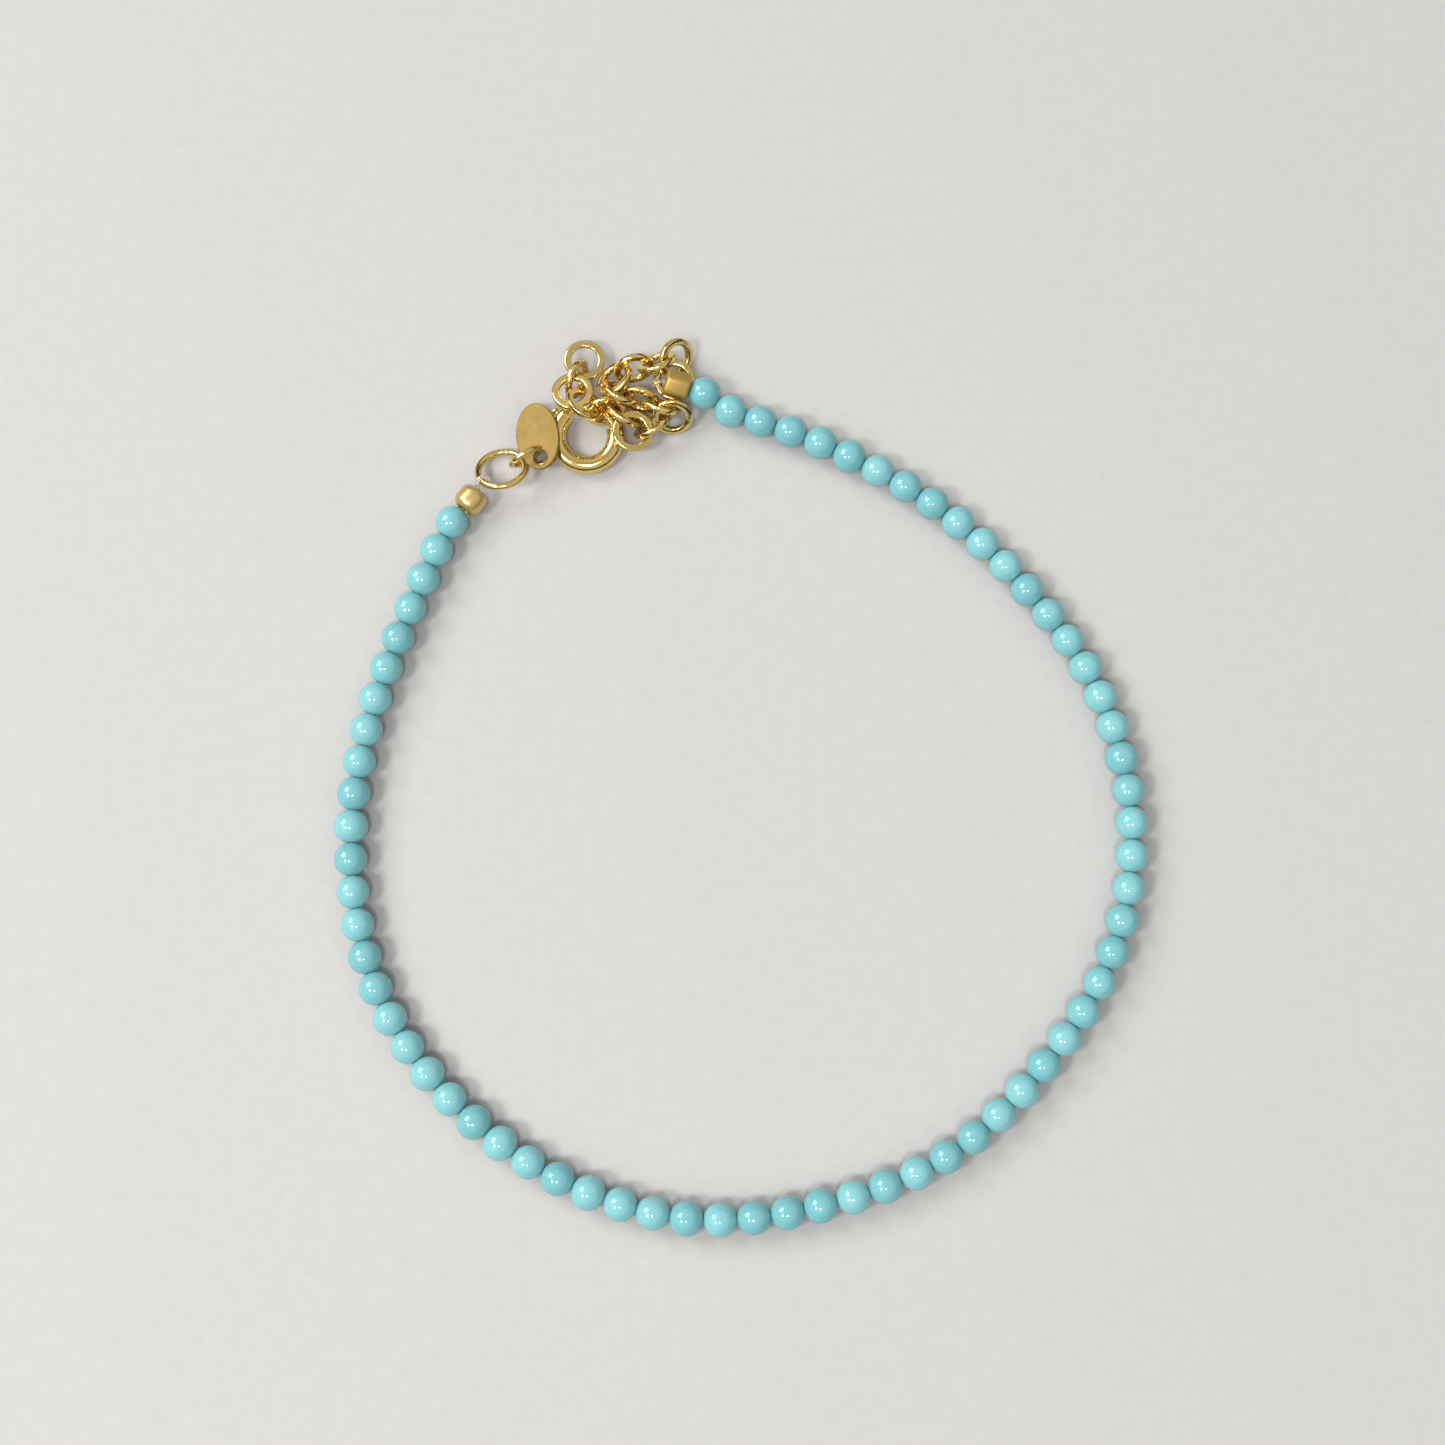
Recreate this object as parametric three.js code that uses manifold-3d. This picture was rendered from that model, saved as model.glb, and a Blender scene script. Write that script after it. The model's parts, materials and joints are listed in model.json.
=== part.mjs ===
import * as THREE from "three";
import { mergeVertices } from "three/addons/utils/BufferGeometryUtils.js";
import Module from "manifold-3d";

// A turquoise bead bracelet with a spring ring clasp and an extension chain, lying on a table.
// Millimetres, +Z up, the table at z = 0, the clasp on the +Y side.

// Beads and thread
const BEAD_DIAMETER = 2.6;
const BEAD_COUNT = 68;
const BEAD_SIDES = 10;
const BEAD_BANDS = 6;
const THREAD_DIAMETER = 0.3;
const THREAD_SIDES = 6;
const TAIL_THINNER = 0.9;
const TAIL_STEPS = 6;
const LOOP_DIAMETER = 1.4;

// Crimp beads
const CRIMP_DIAMETER = 2.3;
const CRIMP_LENGTH = 1.9;
const CRIMP_BORE = 1.25;
const CRIMP_ROUNDING = 0.35;
const CRIMP_SIDES = 12;
const CRIMP_GAP = 0.1;

// Chain links
const LINK_DIAMETER = 3.25;
const LINK_WIRE = 0.58;
const LINK_GAP = 0.09;
const LINK_SIDES = 14;
const WIRE_SIDES = 6;

// Jump ring and tag ring
const JUMP_DIAMETER = 4.3;
const JUMP_WIRE = 0.55;
const TAG_RING_DIAMETER = 2.95;
const TAG_RING_WIRE = 0.45;
const RING_SIDES = 16;

// Oval tag
const TAG_WIDTH = 3.5;
const TAG_LENGTH = 5.3;
const TAG_THICKNESS = 0.4;
const TAG_HOLE = 1.15;
const TAG_HOLE_EDGE = 0.36;
const TAG_SIDES = 32;
const HOLE_SIDES = 12;

// Spring ring clasp
const CLASP_DIAMETER = 6.0;
const CLASP_TUBE = 1.4;
const CLASP_TUBE_SIDES = 12;
const GATE_WIRE = 0.75;
const GATE_SIDES = 8;
const GATE_CLEARANCE = 0.075;
const EYE_HOLE = 1.3;
const EYE_NECK = 0.1;
const EYE_WIRE = 0.42;
const LEVER_WIDTH = 0.5;
const LEVER_HEIGHT = 0.42;
const LEVER_REACH = 0.35;
const LEVER_CLEARANCE = 0.1;
const ARC_STEP = 10;

// Angles round the clasp in degrees, counter-clockwise from +X
const MOUTH_START = 15;
const GATE_OVERLAP = 7;
const GATE_TAIL = 48;
const GATE_TRAVEL = 38;
const EYE_ANGLE = 200;
const LEVER_TO_EYE = 21;
const MOUTH_TO_LEVER = 10;
const BORE_END_CLEARANCE = 4;

// The string's centre line, clockwise from the right crimp bead to the left one
const STRING_ROUTE = [
  { x: -5.0, y: 30.4, z: 2.3 },
  { x: -2.6, y: 29.8, z: 1.65 },
  { x: -0.5, y: 28.4, z: 1.31 },
  { x: 1.9, y: 27.6, z: 1.31 },
  { x: 6.6, y: 25.8, z: 1.31 },
  { x: 15.3, y: 20.8, z: 1.31 },
  { x: 22.3, y: 14.0, z: 1.31 },
  { x: 27.5, y: 5.9, z: 1.31 },
  { x: 29.6, y: -4.0, z: 1.31 },
  { x: 27.8, y: -13.7, z: 1.31 },
  { x: 22.5, y: -21.9, z: 1.31 },
  { x: 15.1, y: -28.6, z: 1.31 },
  { x: 5.4, y: -32.2, z: 1.31 },
  { x: -4.2, y: -33.0, z: 1.31 },
  { x: -13.9, y: -30.0, z: 1.31 },
  { x: -22.0, y: -24.0, z: 1.31 },
  { x: -27.4, y: -16.1, z: 1.31 },
  { x: -29.5, y: -6.3, z: 1.31 },
  { x: -28.6, y: 3.2, z: 1.31 },
  { x: -25.4, y: 12.9, z: 1.31 },
  { x: -22.4, y: 19.6, z: 1.31 },
  { x: -20.95, y: 21.4, z: 1.29 },
];

// The chain from the right crimp bead to its free end. A link's axis leans from the vertical
// by lean degrees towards the compass direction turn, in degrees counter-clockwise from +X.
const CHAIN = [
  { x: -5.2, y: 31.3, z: 0.72, turn: 285, lean: 12 },
  { x: -4.9, y: 32.8, z: 1.3, turn: 318, lean: 45 },
  { x: -6.65, y: 32.3, z: 1.6, turn: 114, lean: 45 },
  { x: -8.3, y: 31.5, z: 1.7, turn: 298, lean: 65 },
  { x: -9.9, y: 30.6, z: 2.2, turn: 161, lean: 28 },
  { x: -9.5, y: 29.5, z: 1.7, turn: 51, lean: 50 },
  { x: -7.9, y: 29.2, z: 1.5, turn: 261, lean: 60 },
  { x: -6.6, y: 28.9, z: 1.5, turn: 77, lean: 60 },
  { x: -5.2, y: 28.5, z: 1.3, turn: 278, lean: 35 },
  { x: -7.0, y: 27.4, z: 1.5, turn: 119, lean: 70 },
  { x: -8.7, y: 26.5, z: 1.4, turn: 264, lean: 30 },
  { x: -9.3, y: 27.9, z: 1.9, turn: 48, lean: 55 },
  { x: -10.7, y: 28.3, z: 1.4, turn: 275, lean: 45 },
  { x: -12.01, y: 28.79, z: 2.4, turn: 55, lean: 40 },
  { x: -13.2, y: 29.32, z: 2.2, turn: 90, lean: 8 },
  { x: -12.75, y: 30.97, z: 1.7, turn: 339, lean: 75 },
  { x: -12.15, y: 32.71, z: 1.2, turn: 270, lean: 4 },
];

// The other rings and plates that lie at the clasp. The clasp's place is its eye's centre,
// because the tag ring holds it there.
const CLASP_EYE_PLACE = { x: -15.77, y: 25.3, turn: 270, lean: 6 };
const JUMP_PLACE = { x: -18.6, y: 23.9, z: 1.2, turn: 99, lean: 29 };
const TAG_RING_PLACE = { x: -16.74, y: 24.8, z: 1.5, turn: 121, lean: 86 };
const TAG_PLACE = { x: -15.92, y: 27.32, z: 1.7, turn: 191, lean: 16, spin: 9 };

// How the chain settles until its links are clear of each other
const SETTLE_PASSES = 400;
const SETTLE_SAMPLES = 36;
const SETTLE_SHARE = 0.5;
const SETTLE_RETURN = 0.06;
const SETTLE_RETURN_SHARE = 0.5;
const SETTLE_BEADS = 4;
const SETTLE_CRIMP_SHARES = [-0.2, 0, 0.2];

// How finely curves are measured and corners are joined
const ROUTE_DIVISIONS = 2000;
const JOIN_TOLERANCE = 1e-5;
const UPRIGHT_TOLERANCE = 1e-8;

const GOLD = { color: 0xc9a050, metalness: 1, roughness: 0.22 };
const TURQUOISE = { color: 0x86cfd3, metalness: 0, roughness: 0.25 };

const UP = new THREE.Vector3(0, 0, 1);
const rad = THREE.MathUtils.degToRad;
const wasm = await Module();
wasm.setup();

// A closed three.js geometry as a manifold-3d solid.
function toSolid(geometry) {
  const plain = geometry.clone();
  plain.deleteAttribute("normal");
  plain.deleteAttribute("uv");
  const merged = mergeVertices(plain, JOIN_TOLERANCE);
  return new wasm.Manifold(
    new wasm.Mesh({
      numProp: 3,
      vertProperties: merged.getAttribute("position").array,
      triVerts: new Uint32Array(merged.index.array),
    })
  );
}

// A manifold-3d solid as a three.js geometry.
function toGeometry(solid) {
  const mesh = solid.getMesh();
  const geometry = new THREE.BufferGeometry();
  geometry.setAttribute("position", new THREE.BufferAttribute(mesh.vertProperties, 3));
  geometry.setIndex(new THREE.BufferAttribute(mesh.triVerts, 1));
  geometry.computeVertexNormals();
  return geometry;
}

function point(place) {
  return new THREE.Vector3(place.x, place.y, place.z);
}

function axisOf(place) {
  const lean = rad(place.lean);
  const turn = rad(place.turn);
  return new THREE.Vector3(
    Math.sin(lean) * Math.cos(turn),
    Math.sin(lean) * Math.sin(turn),
    Math.cos(lean)
  );
}

// The frame of a ring or plate: its middle and the way that its axis leans.
function frameOf(place) {
  const turned = new THREE.Quaternion().setFromUnitVectors(UP, axisOf(place));
  return new THREE.Matrix4().makeRotationFromQuaternion(turned).setPosition(point(place));
}

function goldMesh(name, geometry) {
  const mesh = new THREE.Mesh(geometry, new THREE.MeshStandardMaterial(GOLD));
  mesh.name = name;
  return mesh;
}

// A round rod that follows a curve, with closed ends.
function rodAlong(curve, diameter, sides, steps) {
  const corners = [];
  for (let i = 0; i < sides; i++) {
    const angle = (2 * Math.PI * i) / sides;
    corners.push(new THREE.Vector2(Math.cos(angle), Math.sin(angle)).multiplyScalar(diameter / 2));
  }
  const outline = new THREE.Shape(corners);
  return new THREE.ExtrudeGeometry(outline, { steps, bevelEnabled: false, extrudePath: curve });
}

// An arc in the XY plane round the origin, from one angle in degrees to another.
class FlatArc extends THREE.Curve {
  constructor(radius, start, end) {
    super();
    this.radius = radius;
    this.start = start;
    this.end = end;
  }

  getPoint(t) {
    const angle = rad(this.start + (this.end - this.start) * t);
    return new THREE.Vector3(this.radius * Math.cos(angle), this.radius * Math.sin(angle), 0);
  }
}

function arcRod(radius, start, end, diameter, sides) {
  const steps = Math.ceil(Math.abs(end - start) / ARC_STEP);
  return rodAlong(new FlatArc(radius, start, end), diameter, sides, steps);
}

// The string's curve, and the length along it of each bead's centre.
const stringCurve = new THREE.CatmullRomCurve3(STRING_ROUTE.map(point), false, "centripetal");
stringCurve.arcLengthDivisions = ROUTE_DIVISIONS;
const stringLength = stringCurve.getLength();
const beadPitch = (stringLength - CRIMP_LENGTH - 2 * CRIMP_GAP) / BEAD_COUNT;
const firstBead = (CRIMP_LENGTH + beadPitch) / 2 + CRIMP_GAP;

// The angle from the string at which a bead's round face ends, at the flat where it meets
// the next bead, or at the thread where the beads are too small to meet.
const flatAngle = Math.max(
  Math.acos(Math.min(1, beadPitch / BEAD_DIAMETER)),
  Math.asin(THREAD_DIAMETER / BEAD_DIAMETER)
);

function beadCentre(index) {
  return stringCurve.getPointAt((firstBead + index * beadPitch) / stringLength);
}

// A place on a bead's outline: its length along the string and its distance from it.
function beadStation(index, angle) {
  return {
    length: firstBead + index * beadPitch - (BEAD_DIAMETER / 2) * Math.cos(angle),
    radius: (BEAD_DIAMETER / 2) * Math.sin(angle),
  };
}

// The string's outline: how thick it is at each length along the curve, as bands of beads
// with the bare thread beyond them.
function stringStations() {
  const first = beadStation(0, flatAngle);
  const last = beadStation(BEAD_COUNT - 1, Math.PI - flatAngle);
  const thread = { radius: THREAD_DIAMETER / 2 };
  const stations = [{ ...thread, length: 0 }, { ...thread, length: first.length }, first];
  for (let bead = 0; bead < BEAD_COUNT; bead++) {
    for (let band = 1; band <= BEAD_BANDS; band++) {
      const angle = flatAngle + ((Math.PI - 2 * flatAngle) * band) / BEAD_BANDS;
      stations.push(beadStation(bead, angle));
    }
  }
  stations.push({ ...thread, length: last.length }, { ...thread, length: stringLength });
  return stations;
}

// A closed skin through round sections along the string's curve.
function loftString(stations) {
  const positions = [];
  const faces = [];
  for (const { length, radius } of stations) {
    const share = length / stringLength;
    const centre = stringCurve.getPointAt(share);
    const tangent = stringCurve.getTangentAt(share);
    const side = new THREE.Vector3().crossVectors(UP, tangent).normalize();
    const rise = new THREE.Vector3().crossVectors(tangent, side);
    for (let i = 0; i < BEAD_SIDES; i++) {
      const angle = (2 * Math.PI * i) / BEAD_SIDES;
      const corner = centre
        .clone()
        .addScaledVector(side, radius * Math.cos(angle))
        .addScaledVector(rise, radius * Math.sin(angle));
      positions.push(...corner.toArray());
    }
  }
  const last = (stations.length - 1) * BEAD_SIDES;
  for (let row = 0; row < last; row += BEAD_SIDES) {
    for (let i = 0; i < BEAD_SIDES; i++) {
      const next = (i + 1) % BEAD_SIDES;
      faces.push(row + i, row + next, row + BEAD_SIDES + i);
      faces.push(row + next, row + BEAD_SIDES + next, row + BEAD_SIDES + i);
    }
  }
  for (let i = 1; i < BEAD_SIDES - 1; i++) {
    faces.push(0, i + 1, i, last, last + i, last + i + 1);
  }
  const geometry = new THREE.BufferGeometry();
  geometry.setAttribute("position", new THREE.Float32BufferAttribute(positions, 3));
  geometry.setIndex(faces);
  return geometry;
}

// The outward direction of the string at an end, 0 for the right one and 1 for the left one.
function outwardAt(end) {
  return stringCurve.getTangentAt(end).multiplyScalar(end === 0 ? -1 : 1);
}

const loopRadius = (LOOP_DIAMETER - THREAD_DIAMETER) / 2;
const linkRadius = (LINK_DIAMETER - LINK_WIRE) / 2;
const jumpRadius = (JUMP_DIAMETER - JUMP_WIRE) / 2;

function circleOf(place, radius) {
  return { centre: point(place), axis: axisOf(place), radius };
}

function nearestOnCircle(circle, target) {
  const offset = target.clone().sub(circle.centre);
  offset.addScaledVector(circle.axis, -offset.dot(circle.axis));
  return circle.centre.clone().addScaledVector(offset.normalize(), circle.radius);
}

// The thread's loop at an end of the string, round the wire of the ring that it holds:
// the loop's frame and the tail's route to it from the crimp bead.
function threadLoop(end, held) {
  const crimpCentre = stringCurve.getPointAt(end);
  const mouth = crimpCentre.clone().addScaledVector(outwardAt(end), CRIMP_LENGTH / 2 + CRIMP_GAP);
  const centre = nearestOnCircle(held, mouth);
  const rise = mouth.clone().sub(centre).normalize();
  const along = centre.clone().sub(held.centre).cross(held.axis).normalize();
  const side = new THREE.Vector3().crossVectors(along, rise);
  const ringTop = centre.clone().addScaledVector(rise, loopRadius);
  const frame = new THREE.Matrix4().makeBasis(rise, side, along).setPosition(centre);
  const root = crimpCentre.clone().addScaledVector(outwardAt(end), -THREAD_DIAMETER);
  return { frame, tail: new THREE.CatmullRomCurve3([root, crimpCentre, mouth, ringTop]) };
}

const threadLoops = [
  threadLoop(0, circleOf(CHAIN[0], linkRadius)),
  threadLoop(1, circleOf(JUMP_PLACE, jumpRadius)),
];

function beadString() {
  const solids = [toSolid(loftString(stringStations()))];
  for (const { frame, tail } of threadLoops) {
    const loop = new THREE.TorusGeometry(
      loopRadius,
      THREAD_DIAMETER / 2,
      THREAD_SIDES,
      RING_SIDES
    ).applyMatrix4(frame);
    // A little thinner than the string's end, in which it starts.
    const rod = rodAlong(tail, THREAD_DIAMETER * TAIL_THINNER, THREAD_SIDES, TAIL_STEPS);
    solids.push(toSolid(loop), toSolid(rod));
  }
  const mesh = new THREE.Mesh(
    toGeometry(wasm.Manifold.union(solids)),
    new THREE.MeshStandardMaterial(TURQUOISE)
  );
  mesh.name = "bead_string";
  return mesh;
}

// A barrel-shaped bead with a bore, its axis along the string.
function crimpBead(name, end) {
  const half = CRIMP_LENGTH / 2;
  const outer = CRIMP_DIAMETER / 2;
  const profile = [
    [CRIMP_BORE / 2, -half],
    [outer - CRIMP_ROUNDING, -half],
    [outer, -half + CRIMP_ROUNDING],
    [outer, half - CRIMP_ROUNDING],
    [outer - CRIMP_ROUNDING, half],
    [CRIMP_BORE / 2, half],
    [CRIMP_BORE / 2, -half],
  ].map(([x, y]) => new THREE.Vector2(x, y));
  const mesh = goldMesh(name, new THREE.LatheGeometry(profile, CRIMP_SIDES));
  mesh.quaternion.setFromUnitVectors(new THREE.Vector3(0, 1, 0), outwardAt(end));
  mesh.position.copy(stringCurve.getPointAt(end));
  return mesh;
}

function ring(name, diameter, wire, wireSides, place) {
  const geometry = new THREE.TorusGeometry((diameter - wire) / 2, wire / 2, wireSides, RING_SIDES);
  const mesh = goldMesh(name, geometry);
  mesh.position.copy(point(place));
  mesh.quaternion.setFromUnitVectors(UP, axisOf(place));
  return mesh;
}

function ovalTag() {
  const outline = new THREE.Shape();
  outline.absellipse(0, 0, TAG_WIDTH / 2, TAG_LENGTH / 2, 0, 2 * Math.PI);
  const hole = new THREE.Path();
  const holeY = -TAG_LENGTH / 2 + TAG_HOLE_EDGE + TAG_HOLE / 2;
  hole.absarc(0, holeY, TAG_HOLE / 2, 0, 2 * Math.PI, true);
  const points = outline.getSpacedPoints(TAG_SIDES);
  const plate = new THREE.Shape(points.slice(0, TAG_SIDES));
  plate.holes.push(new THREE.Path(hole.getSpacedPoints(HOLE_SIDES).slice(0, HOLE_SIDES)));
  const geometry = new THREE.ExtrudeGeometry(plate, { depth: TAG_THICKNESS, bevelEnabled: false });
  geometry.translate(0, 0, -TAG_THICKNESS / 2);
  geometry.rotateZ(rad(TAG_PLACE.spin));
  const mesh = goldMesh("tag", geometry);
  mesh.position.copy(point(TAG_PLACE));
  mesh.quaternion.setFromUnitVectors(UP, axisOf(TAG_PLACE));
  return mesh;
}

// The clasp: its tube's centre line, and the angles of its parts when the gate is shut.
const claspRadius = (CLASP_DIAMETER - CLASP_TUBE) / 2;
const leverAngle = EYE_ANGLE - LEVER_TO_EYE - GATE_TRAVEL;
const mouthEnd = leverAngle - MOUTH_TO_LEVER;
const gateStart = MOUTH_START - GATE_OVERLAP;
const gateEnd = mouthEnd + GATE_TAIL;
const boreDiameter = GATE_WIRE + 2 * GATE_CLEARANCE;
const leverHalfAngle = THREE.MathUtils.radToDeg(LEVER_WIDTH / 2 / claspRadius);

const eyeRadius = (EYE_HOLE + EYE_WIRE) / 2;
const eyeDistance = CLASP_DIAMETER / 2 + EYE_NECK + eyeRadius;

// The clasp hangs from its eye, and the low side of the leaning tube touches the table.
function claspFrame() {
  const turned = new THREE.Quaternion().setFromUnitVectors(UP, axisOf(CLASP_EYE_PLACE));
  const toEye = new FlatArc(eyeDistance, EYE_ANGLE, EYE_ANGLE).getPoint(0).applyQuaternion(turned);
  const centre = new THREE.Vector3(
    CLASP_EYE_PLACE.x - toEye.x,
    CLASP_EYE_PLACE.y - toEye.y,
    claspRadius * Math.sin(rad(CLASP_EYE_PLACE.lean)) + CLASP_TUBE / 2
  );
  return new THREE.Matrix4().makeRotationFromQuaternion(turned).setPosition(centre);
}

function boxFrom(low, high) {
  const box = new THREE.BoxGeometry(high[0] - low[0], high[1] - low[1], high[2] - low[2]);
  box.translate((high[0] + low[0]) / 2, (high[1] + low[1]) / 2, (high[2] + low[2]) / 2);
  return box;
}

// The slot that the lever slides along: an arc of rectangular section in the tube's outer wall.
function leverSlot() {
  const halfHeight = LEVER_HEIGHT / 2 + LEVER_CLEARANCE;
  const start = leverAngle - leverHalfAngle - BORE_END_CLEARANCE;
  const end = leverAngle + GATE_TRAVEL + leverHalfAngle + BORE_END_CLEARANCE;
  const steps = Math.ceil((end - start) / ARC_STEP);
  const outer = new FlatArc(claspRadius + CLASP_TUBE, start, end).getPoints(steps);
  const inner = new FlatArc(claspRadius, end, start).getPoints(steps);
  const outline = new THREE.Shape([...outer, ...inner].map(({ x, y }) => new THREE.Vector2(x, y)));
  const slot = new THREE.ExtrudeGeometry(outline, { depth: 2 * halfHeight, bevelEnabled: false });
  slot.translate(0, 0, -halfHeight);
  return slot;
}

function claspBody() {
  const tube = arcRod(claspRadius, mouthEnd, MOUTH_START + 360, CLASP_TUBE, CLASP_TUBE_SIDES);
  const gateBore = arcRod(
    claspRadius,
    mouthEnd - ARC_STEP,
    gateEnd + GATE_TRAVEL + BORE_END_CLEARANCE,
    boreDiameter,
    CLASP_TUBE_SIDES
  );
  const tipBore = arcRod(
    claspRadius,
    gateStart - BORE_END_CLEARANCE,
    MOUTH_START + ARC_STEP,
    boreDiameter,
    CLASP_TUBE_SIDES
  );
  const neck = boxFrom(
    [claspRadius, -EYE_WIRE / 2, -EYE_WIRE / 2],
    [eyeDistance - eyeRadius, EYE_WIRE / 2, EYE_WIRE / 2]
  );
  neck.rotateZ(rad(EYE_ANGLE));
  const eye = new THREE.TorusGeometry(eyeRadius, EYE_WIRE / 2, WIRE_SIDES, RING_SIDES);
  eye.translate(eyeDistance * Math.cos(rad(EYE_ANGLE)), eyeDistance * Math.sin(rad(EYE_ANGLE)), 0);
  const solid = toSolid(tube)
    .add(toSolid(neck))
    .add(toSolid(eye))
    .subtract(toSolid(gateBore))
    .subtract(toSolid(tipBore))
    .subtract(toSolid(leverSlot()));
  return goldMesh("clasp_body", toGeometry(solid));
}

function claspGate() {
  const wire = arcRod(claspRadius, gateStart, gateEnd, GATE_WIRE, GATE_SIDES);
  const lever = boxFrom(
    [claspRadius, -LEVER_WIDTH / 2, -LEVER_HEIGHT / 2],
    [CLASP_DIAMETER / 2 + LEVER_REACH, LEVER_WIDTH / 2, LEVER_HEIGHT / 2]
  );
  lever.rotateZ(rad(leverAngle));
  return goldMesh("clasp_gate", toGeometry(toSolid(wire).add(toSolid(lever))));
}

function clasp() {
  const group = new THREE.Group();
  group.add(claspBody(), claspGate());
  group.applyMatrix4(claspFrame());
  return group;
}

// Balls that fill what the chain must stay clear of.
function obstacles() {
  const balls = [];
  for (let i = 0; i < SETTLE_BEADS; i++) {
    balls.push({ centre: beadCentre(i), radius: BEAD_DIAMETER / 2 });
  }
  for (const share of SETTLE_CRIMP_SHARES) {
    const centre = stringCurve.getPointAt(0).addScaledVector(outwardAt(0), share * CRIMP_LENGTH);
    balls.push({ centre, radius: CRIMP_DIAMETER / 2 });
  }
  const place = claspFrame();
  for (let angle = 0; angle < 360; angle += ARC_STEP / 2) {
    const inMouth = angle > MOUTH_START && angle < mouthEnd;
    balls.push({
      centre: new FlatArc(claspRadius, angle, angle).getPoint(0).applyMatrix4(place),
      radius: (inMouth ? GATE_WIRE : CLASP_TUBE) / 2,
    });
  }
  for (const { frame, tail } of threadLoops) {
    for (let angle = 0; angle < 360; angle += 2 * ARC_STEP) {
      balls.push({
        centre: new FlatArc(loopRadius, angle, angle).getPoint(0).applyMatrix4(frame),
        radius: THREAD_DIAMETER / 2,
      });
    }
    for (const centre of tail.getSpacedPoints(TAIL_STEPS)) {
      balls.push({ centre, radius: THREAD_DIAMETER / 2 });
    }
  }
  const tagFrame = frameOf(TAG_PLACE);
  for (let angle = 0; angle < 360; angle += ARC_STEP) {
    const rim = new THREE.Vector3(
      (TAG_WIDTH / 2) * Math.cos(rad(angle)),
      (TAG_LENGTH / 2) * Math.sin(rad(angle)),
      0
    );
    balls.push({
      centre: rim.applyAxisAngle(UP, rad(TAG_PLACE.spin)).applyMatrix4(tagFrame),
      radius: TAG_THICKNESS,
    });
  }
  const lever = claspRadius + (CLASP_TUBE + LEVER_REACH) / 2;
  for (let angle = leverAngle; angle <= leverAngle + GATE_TRAVEL; angle += ARC_STEP) {
    balls.push({
      centre: new FlatArc(lever, angle, angle).getPoint(0).applyMatrix4(place),
      radius: LEVER_WIDTH / 2,
    });
  }
  return balls;
}

function circlePoint(link, angle) {
  const across = new THREE.Vector3(-link.axis.y, link.axis.x, 0);
  if (across.lengthSq() < UPRIGHT_TOLERANCE) across.set(1, 0, 0);
  across.normalize();
  const other = new THREE.Vector3().crossVectors(link.axis, across);
  return link.centre
    .clone()
    .addScaledVector(across, link.radius * Math.cos(angle))
    .addScaledVector(other, link.radius * Math.sin(angle));
}

// Where two links come nearest: a point on each circle.
function nearestPair(first, second) {
  let best = null;
  for (let i = 0; i < SETTLE_SAMPLES; i++) {
    const onFirst = circlePoint(first, (2 * Math.PI * i) / SETTLE_SAMPLES);
    const onSecond = nearestOnCircle(second, onFirst);
    const distance = onFirst.distanceTo(onSecond);
    if (!best || distance < best.distance) best = { onFirst, onSecond, distance };
  }
  return best;
}

// Moves and tips a link so that the given point on it goes along a unit direction.
function nudge(link, at, direction, amount) {
  const arm = at.clone().sub(link.centre).cross(direction);
  const inertia = (linkRadius * linkRadius) / 2;
  const step = amount / (1 + arm.lengthSq() / inertia);
  link.centre.addScaledVector(direction, step);
  const angle = (arm.length() * step) / inertia;
  if (angle > 0) link.axis.applyAxisAngle(arm.normalize(), angle).normalize();
}

// Pushes two links apart where they come too near each other; the chain's first link stays.
function part(links, i, j) {
  if (links[i].centre.distanceTo(links[j].centre) > LINK_DIAMETER + LINK_GAP) return;
  const near = nearestPair(links[i], links[j]);
  const lack = LINK_WIRE + LINK_GAP - near.distance;
  if (lack <= 0) return;
  const direction = near.onFirst.clone().sub(near.onSecond).normalize();
  if (i > 0) nudge(links[i], near.onFirst, direction, (lack * SETTLE_SHARE) / 2);
  nudge(links[j], near.onSecond, direction.negate(), (lack * SETTLE_SHARE) / 2);
}

// Draws a link back to its chosen place, pushes it off the balls and lifts it off the table.
function place(link, home, pull, balls) {
  link.centre.lerp(home.centre, pull);
  link.axis.lerp(home.axis, pull).normalize();
  for (const ball of balls) {
    const at = nearestOnCircle(link, ball.centre);
    const lack = LINK_WIRE / 2 + LINK_GAP + ball.radius - at.distanceTo(ball.centre);
    if (lack <= 0) continue;
    nudge(link, at, at.clone().sub(ball.centre).normalize(), lack * SETTLE_SHARE);
  }
  const below = link.centre.clone().addScaledVector(UP, -LINK_DIAMETER);
  const lowest = nearestOnCircle(link, below);
  const sunk = LINK_WIRE / 2 - lowest.z;
  if (sunk > 0) nudge(link, lowest, UP, sunk * SETTLE_SHARE);
}

// Moves the links a little in each pass, until every wire is clear of the others.
function settledChain() {
  const links = CHAIN.map((row) => circleOf(row, linkRadius));
  const homes = CHAIN.map((row) => circleOf(row, linkRadius));
  const balls = obstacles();
  for (let pass = 0; pass < SETTLE_PASSES; pass++) {
    const progress = pass / SETTLE_PASSES;
    const pull = SETTLE_RETURN * Math.max(0, 1 - progress / SETTLE_RETURN_SHARE);
    for (let i = 0; i < links.length; i++) {
      for (let j = i + 1; j < links.length; j++) part(links, i, j);
      if (i > 0) place(links[i], homes[i], pull, balls);
    }
  }
  return links;
}

function chain() {
  return settledChain().map((link, index) => {
    const geometry = new THREE.TorusGeometry(linkRadius, LINK_WIRE / 2, WIRE_SIDES, LINK_SIDES);
    const mesh = goldMesh(`chain_link_${String(index + 1).padStart(2, "0")}`, geometry);
    mesh.position.copy(link.centre);
    mesh.quaternion.setFromUnitVectors(UP, link.axis);
    return mesh;
  });
}

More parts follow.
